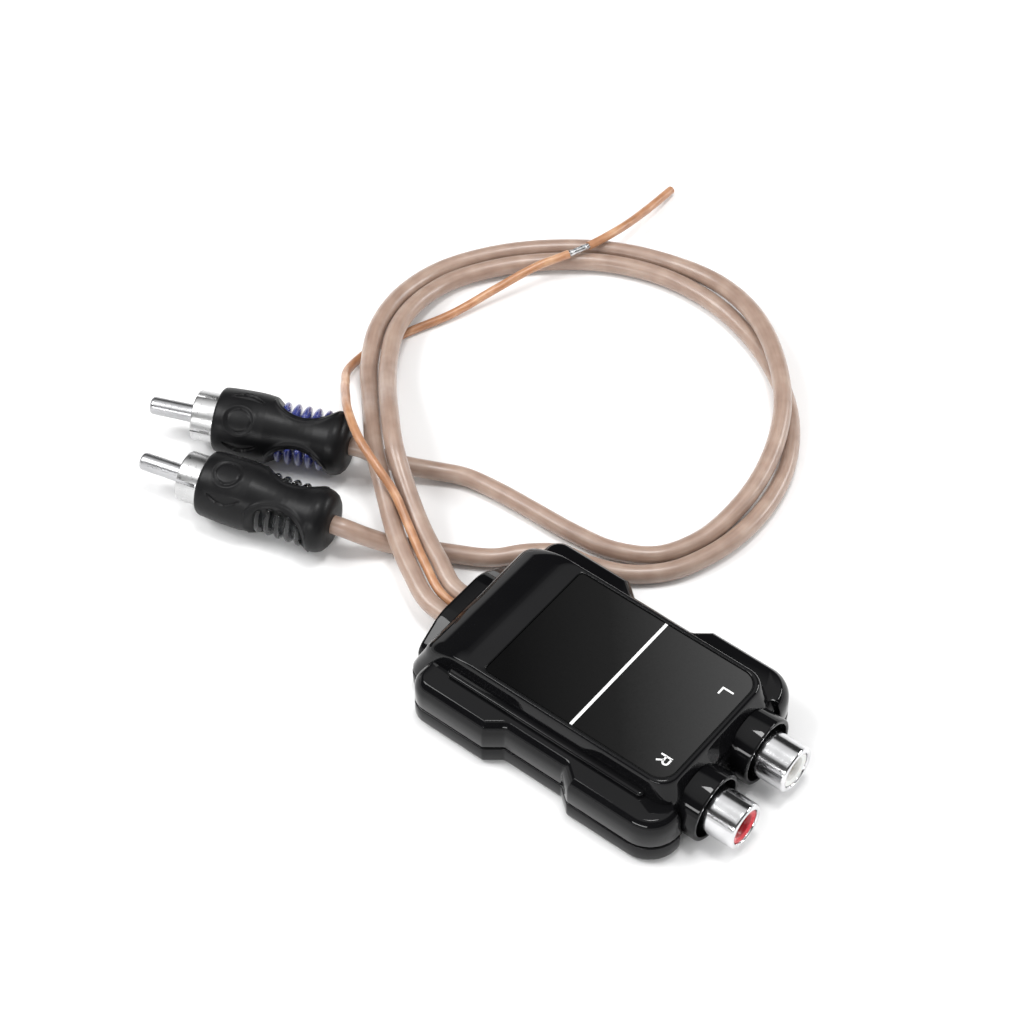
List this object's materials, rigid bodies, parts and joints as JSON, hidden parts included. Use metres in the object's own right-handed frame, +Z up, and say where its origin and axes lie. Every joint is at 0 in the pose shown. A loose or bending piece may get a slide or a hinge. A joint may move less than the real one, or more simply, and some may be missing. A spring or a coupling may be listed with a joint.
{
  "type": "ground loop isolator",
  "caption": "Inline audio ground loop isolator: gloss black casing with two phono jacks, twin cable with phono plugs and a ground wire.",
  "frame": {"origin": "centre of the casing's underside, halfway between the jack faces and the cable collar, at floor height", "axes": "+Y out of the cable side, +X to the left-channel (white) jack, +Z up; the jacks face -Y"},
  "size_m": [0.1261, 0.1351, 0.014],
  "materials": {
    "gloss_black": "high gloss black moulded plastic",
    "label_grey": "satin dark grey printed plate",
    "bright_plating": "bright nickel plating, turned",
    "white_plastic": "white moulded insulator",
    "red_plastic": "red moulded insulator",
    "gold_contact": "sprung brass contact",
    "board_green": "solder-masked board",
    "lamination_steel": "stacked laminations",
    "bobbin_nylon": "natural nylon",
    "winding_copper": "enamelled copper wire",
    "tinned_metal": "tinned wire",
    "dark_steel": "blackened steel",
    "black_rubber": "satin black rubber",
    "lead_copper": "stripped lead",
    "rose_jacket": "clear jacket over copper braid",
    "orange_jacket": "tinted jacket over fine copper strands",
    "clear_grip": "water-clear moulded grip",
    "violet_grip": "violet moulded grip",
    "satin_nickel": "nickel-plated spring shield"
  },
  "bodies": {
    "root": {"upper_casing": "gloss_black", "lower_casing": "gloss_black", "label_plate": "label_grey", "left_jack_barrel": "bright_plating", "right_jack_barrel": "bright_plating", "left_jack_insert": "white_plastic", "right_jack_insert": "red_plastic", "left_jack_contact": "gold_contact", "right_jack_contact": "gold_contact", "left_ground_lug": "gold_contact", "right_ground_lug": "gold_contact", "circuit_board": "board_green", "left_core": "lamination_steel", "right_core": "lamination_steel", "left_bobbin": "bobbin_nylon", "right_bobbin": "bobbin_nylon", "left_winding": "winding_copper", "right_winding": "winding_copper", "terminal_pins": "tinned_metal", "front_left_screw": "dark_steel", "front_right_screw": "dark_steel", "rear_left_screw": "dark_steel", "rear_right_screw": "dark_steel", "cable_grommet": "black_rubber", "inner_leads": "lead_copper", "left_cable": "rose_jacket", "right_cable": "rose_jacket", "ground_wire": "orange_jacket", "bare_strands": "tinned_metal", "left_plug_body": "black_rubber", "right_plug_body": "black_rubber", "left_plug_grip": "clear_grip", "right_plug_grip": "violet_grip", "left_plug_shield": "satin_nickel", "right_plug_shield": "satin_nickel", "left_plug_insulator": "white_plastic", "right_plug_insulator": "white_plastic", "left_plug_pin": "bright_plating", "right_plug_pin": "bright_plating"}
  },
  "joints": []
}
